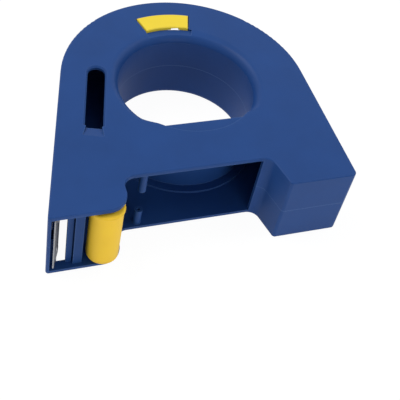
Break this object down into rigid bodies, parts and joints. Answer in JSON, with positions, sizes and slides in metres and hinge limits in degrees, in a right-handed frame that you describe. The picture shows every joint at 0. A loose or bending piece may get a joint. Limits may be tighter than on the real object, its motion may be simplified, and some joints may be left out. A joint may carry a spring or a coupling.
{
  "type": "masking tape applicator",
  "caption": "Hand-held masking tape applicator: hinged two-half case around a hub with a grip bore, lift-up latch, pressing roller and toothed blade in the open foot.",
  "frame": {"origin": "on the hub's axis, in the plane of the seam between the two half shells", "axes": "+Z along the hub's axis out of the front face that carries the latch, +X along the feet towards the closed foot, +Y away from the feet"},
  "size_m": [0.1591, 0.1451, 0.0432],
  "materials": {
    "case_blue": "moulded, fine grain",
    "case_blue_front": "moulded, fine grain",
    "bar_blue": "moulded",
    "latch_yellow": "moulded",
    "roller_yellow": "moulded, satin",
    "cap_yellow": "moulded, satin",
    "blade_steel": "ground",
    "spring_steel": "spring temper",
    "fastener_steel": "zinc plated"
  },
  "bodies": {
    "rear_half": {"rear_shell": "case_blue", "guide_bar": "bar_blue", "bar_screws": "fastener_steel", "blade_holder": "bar_blue", "cutter_blade": "blade_steel", "blade_rivets": "fastener_steel", "roller_axle": "fastener_steel", "hinge_pin": "fastener_steel", "catch_clip": "spring_steel", "clip_rivets": "fastener_steel"},
    "front_half": {"front_shell": "case_blue_front", "latch_pin": "fastener_steel", "latch_spring": "spring_steel"},
    "latch": {"latch": "latch_yellow"},
    "roller": {"roller_sleeve": "roller_yellow", "roller_cap_front": "cap_yellow", "roller_cap_rear": "cap_yellow"}
  },
  "joints": [
    {"name": "case_hinge", "type": "hinge", "parent": "rear_half", "child": "front_half", "pos_m": [0.0682, -0.034, 0], "axis": [0, 1, 0], "range_deg": [0, 175], "deforming": ["catch_clip"]},
    {"name": "latch_lift", "type": "hinge", "parent": "front_half", "child": "latch", "pos_m": [0.00151, 0.05748, 0.0162], "axis": [-0.9997, 0.0262, 0], "range_deg": [0, 14], "stiffness_Nm_per_rad": 0.05, "springref_deg": -14.32, "deforming": ["latch_spring"]},
    {"name": "roller_spin", "type": "hinge", "parent": "rear_half", "child": "roller", "pos_m": [-0.0599, -0.0709, 0], "axis": [0, 0, 1], "continuous": true}
  ]
}
